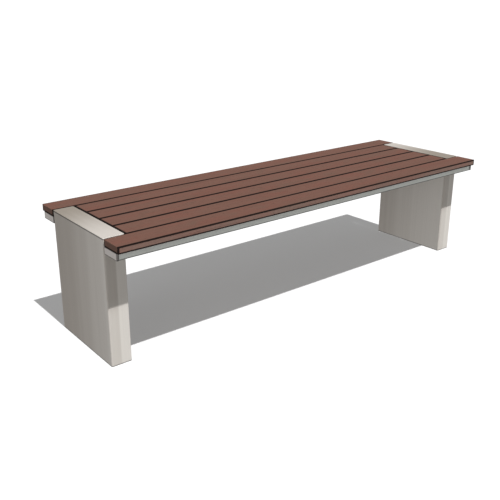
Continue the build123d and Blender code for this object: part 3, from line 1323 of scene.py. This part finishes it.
class Hardware:
    """Every bolt, nut, washer, spacer and screw of the bench.

    Attributes:
        kinds: One fastener for each of their nodes, with its sizes in millimetres.
    """

    def __init__(self, steel: bpy.types.Material, nylon: bpy.types.Material) -> None:
        """List the hardware by kind.

        Args:
            steel: The finish of bolts, nuts, washers and screws.
            nylon: The finish of the spacers.
        """
        rail_bolt = {"Flats": 16, "Head height": 6.4, "Shank radius": 5, "Length": 35, "End chamfer": 1}
        bearer_bolt = {"Flats": 10, "Head height": 4, "Shank radius": 3, "Length": 16, "End chamfer": 0.7}
        bearer_nut = {"Flats": 10, "Head height": 5, "Thread radius": 3.05, "Countersink": 0.4}
        washer = {"Outer radius": 10, "Inner radius": 5.5, "Thickness": 2, "Edge": 0.3}
        spacer = {"Outer radius": 11, "Inner radius": 5.5, "Thickness": 4, "Edge": 0.4}
        wood_screw = {
            "Head radius": 5, "Head height": 3, "Head rounding": 1.5, "Shank radius": 2.5,
            "Length": 20, "Tip length": 3, "Tip radius": 0.5, "Socket flats": 4, "Socket depth": 1.8,
        }
        plate_screw = {
            "Head radius": 5.25, "Head height": 3.3, "Head rounding": 2.6, "Shank radius": 3,
            "Length": 12, "Tip length": 0.6, "Tip radius": 2.4, "Socket flats": 4, "Socket depth": 2,
        }
        self.kinds: list[Fastener] = [
            HexBolt("rail_bolts", "bolts", steel, Axis.ACROSS, rail_bolt, sides=36),
            HexBolt("bearer_bolts", "bolts", steel, Axis.ACROSS, bearer_bolt),
            HexNut("bearer_nuts", "bolts", steel, Axis.ACROSS, bearer_nut),
            FlatRing("rail_washers", "bolts", steel, Axis.ACROSS, washer, sides=36),
            FlatRing("rail_spacers", "spacers", nylon, Axis.ACROSS, spacer, sides=36),
            ScrewFromInside("top_plate_screws", "screws", steel, Axis.ALONG, plate_screw),
        ]
        for row in ("front_slat", "inner_slat", "rear_slat"):
            screws = ScrewFromBelow(f"{row}_screws", "screws", steel, Axis.UP, wood_screw)
            self.kinds.append(screws)

    def build(self) -> None:
        """Make every kind."""
        for kind in self.kinds:
            kind.build()


# ---------------------------------------------------------------- sheet metal


class SheetMetal:
    """The pieces that keep the frame's own meshes: legs, rails, bearers and inner steel."""

    def finishes(self) -> dict[str, Finish]:
        """Give the finish for each of these material slots, and for the end plates.

        Returns:
            The finishes, by the slot's name.
        """
        plate_joint = Joint(Axis.UP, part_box("left_leg_shell")[1].z)
        # Foot line: partly dirt, partly painted contact shade where the leg meets the floor.
        foot = Joint(Axis.UP, CAD_LOW.z, reach=4.0)
        low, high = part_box("front_rail")
        edges = (Joint(Axis.ALONG, high.x), Joint(Axis.UP, high.z), Joint(Axis.UP, low.z, reach=4.0))
        plate_low, plate_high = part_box("rear_right_end_plate")
        outer_side = Joint(Axis.ACROSS, plate_high.y, share=0.6, reach=1.6)
        plate_sides = (Joint(Axis.ACROSS, plate_low.y), outer_side)
        return {
            "leg_sheet": SatinSheet(joints=(plate_joint, foot)),
            "top_plate": SatinTopPlate(joints=(plate_joint,)),
            "seat_frame": PowderCoat(joints=edges),
            "end_plate": PowderCoat(
                "steel_plate_powder_coated_satin", "#D0C9C4", dust="#BDB5AE", joints=edges + plate_sides
            ),
            "inner_steel": MillSteel(),
        }

    def build(self) -> None:
        """Dress every node of these slots."""
        materials = {slot: finish.material() for slot, finish in self.finishes().items()}
        for part in frame["record"]["subparts"]:
            is_end_plate = "end_plate" in part["node"]
            material = materials.get("end_plate" if is_end_plate else part["material_slot"])
            if material:
                dress(part["node"], material)


# ---------------------------------------------------------------- studio


@dataclass
class Studio:
    """Pale floor, one key light, an even pale sky and the camera.

    Attributes:
        azimuth: The camera's direction round the bench, in degrees; 0 looks along +Y.
        elevation: The camera's height above the horizon, in degrees.
        distance: From the camera to the point that it looks at, in metres.
        aim: That point, from the middle of the bench, in metres.
        lens: Focal length for a 36 mm wide sensor, in millimetres.
        shift: The lens's shift, as a share of the sensor's width.
        shade_per_height: How far a shadow falls behind a thing, as a share of its height.
        key: Strength of the key light.
        key_angle: How wide the key light looks, in degrees; it softens the shadow's edge.
        fill: Strength of the soft light from the left.
        fill_azimuth: How far to the left of the front that light is, in degrees.
        fill_angle: How wide that light looks, in degrees.
        fill_height: Its height above the horizon, in degrees.
        sky: Brightness of the sky as a light.
        floor_size: Side of the floor, in metres.
        floor_drop: How far it lies below the feet, in millimetres.
        floor_shade: The floor's own colour.
        floor_lift: Light that evens out the shadow on the floor.
        floor_glow: Light that the floor throws back on the bench.
    """

    azimuth: float = -38.321
    elevation: float = 19.129
    distance: float = 2.75
    aim: tuple[float, float, float] = (-0.1752, 0.0267, 0.0454)
    lens: float = 49.405
    shift: tuple[float, float] = (0.00988, -0.04347)
    shade_per_height: float = 0.436
    key: float = 5.2
    key_angle: float = 0.8
    fill: float = 0.8
    fill_azimuth: float = 72.0
    fill_angle: float = 60.0
    fill_height: float = 5.0
    sky: float = 0.28
    floor_size: float = 240.0
    floor_drop: float = 0.1
    floor_shade: str = "#BCBCBC"
    floor_lift: float = 0.18
    floor_glow: float = 0.45

    def camera(self) -> None:
        """Make the camera."""
        turn, tilt = math.radians(self.azimuth), math.radians(self.elevation)
        back = Vector((math.sin(turn) * math.cos(tilt), -math.cos(turn) * math.cos(tilt), math.sin(tilt)))
        data = bpy.data.cameras.new("camera")
        data.lens, data.sensor_width = self.lens, 36.0
        data.shift_x, data.shift_y = self.shift
        data.clip_end = self.floor_size
        camera = bpy.data.objects.new("camera", data)
        camera.location = (CAD_LOW + CAD_HIGH) / 2 + Vector(self.aim) + back * self.distance
        camera.rotation_euler = (math.pi / 2 - tilt, 0.0, turn)
        bpy.context.scene.collection.objects.link(camera)
        bpy.context.scene.camera = camera

    def light(self, name: str, strength: float, angle: float, turn: Sequence[float]) -> None:
        """Make one far-off light.

        Args:
            name: What the light is called.
            strength: Its strength.
            angle: How wide it looks, in degrees.
            turn: Its rotation from straight down, in radians.
        """
        data = bpy.data.lights.new(name, "SUN")
        data.energy, data.angle = strength, math.radians(angle)
        light = bpy.data.objects.new(name, data)
        light.rotation_euler = turn
        bpy.context.scene.collection.objects.link(light)

    def lights(self) -> None:
        """Make the key light in front, the soft fill light on the left and the sky."""
        self.light("key", self.key, self.key_angle, (math.atan(self.shade_per_height), 0.0, 0.0))
        lean = math.radians(90.0 - self.fill_height)
        self.light("fill", self.fill, self.fill_angle, (lean, 0.0, -math.radians(self.fill_azimuth)))
        world = bpy.data.worlds.new("sky")
        world.use_nodes = True
        bpy.context.scene.world = world
        tree = world.node_tree
        tree.nodes.clear()
        seen = Number(tree, add(tree, "ShaderNodeLightPath", output="Is Camera Ray"))
        strength = seen * (1.0 - self.sky) + self.sky
        sky = add(tree, "ShaderNodeBackground", {"Color": (1, 1, 1, 1), "Strength": strength})
        add(tree, "ShaderNodeOutputWorld", {"Surface": sky})

    def floor(self) -> None:
        """Make the floor: pale where it is seen, an even soft glow for the bench above it."""
        half = self.floor_size / 2
        mesh = bpy.data.meshes.new("floor")
        corners = [(-half, -half, 0), (half, -half, 0), (half, half, 0), (-half, half, 0)]
        mesh.from_pydata(corners, [], [(0, 1, 2, 3)])
        floor = bpy.data.objects.new("floor", mesh)
        floor.location.z = CAD_LOW.z - self.floor_drop * MM
        bpy.context.scene.collection.objects.link(floor)
        material = bpy.data.materials.new("pale_floor_matt")
        material.use_nodes = True
        tree = material.node_tree
        tree.nodes.clear()
        seen = add(tree, "ShaderNodeLightPath", output="Is Camera Ray")
        glow = add(tree, "ShaderNodeEmission", {"Strength": self.floor_glow})
        matt = add(tree, "ShaderNodeBsdfDiffuse", {"Color": linear(self.floor_shade)})
        lift = add(tree, "ShaderNodeEmission", {"Strength": self.floor_lift})
        pale = add(tree, "ShaderNodeAddShader", {0: matt, 1: lift})
        both = add(tree, "ShaderNodeMixShader", {0: seen, 1: glow, 2: pale})
        # Seen from below, the floor is clear, so that it never hides the underside.
        below = add(tree, "ShaderNodeNewGeometry", output="Backfacing")
        clear = add(tree, "ShaderNodeBsdfTransparent")
        one_sided = add(tree, "ShaderNodeMixShader", {0: below, 1: both, 2: clear})
        add(tree, "ShaderNodeOutputMaterial", {"Surface": one_sided})
        mesh.materials.append(material)

    def build(self) -> None:
        """Make the studio."""
        self.camera()
        self.lights()
        self.floor()
        bpy.context.scene.view_settings.view_transform = "Standard"
        log.info("studio: camera at azimuth %.1f, elevation %.1f", self.azimuth, self.elevation)


def main() -> None:
    """Build every sub-assembly in order."""
    logging.basicConfig(level=logging.INFO, format="%(name)s: %(message)s")
    Slats(OiledHardwood().material()).build()
    Hardware(TurnedSteel().material(), MouldedNylon().material()).build()
    SheetMetal().build()
    Studio().build()


if __name__ == "__main__":
    main()
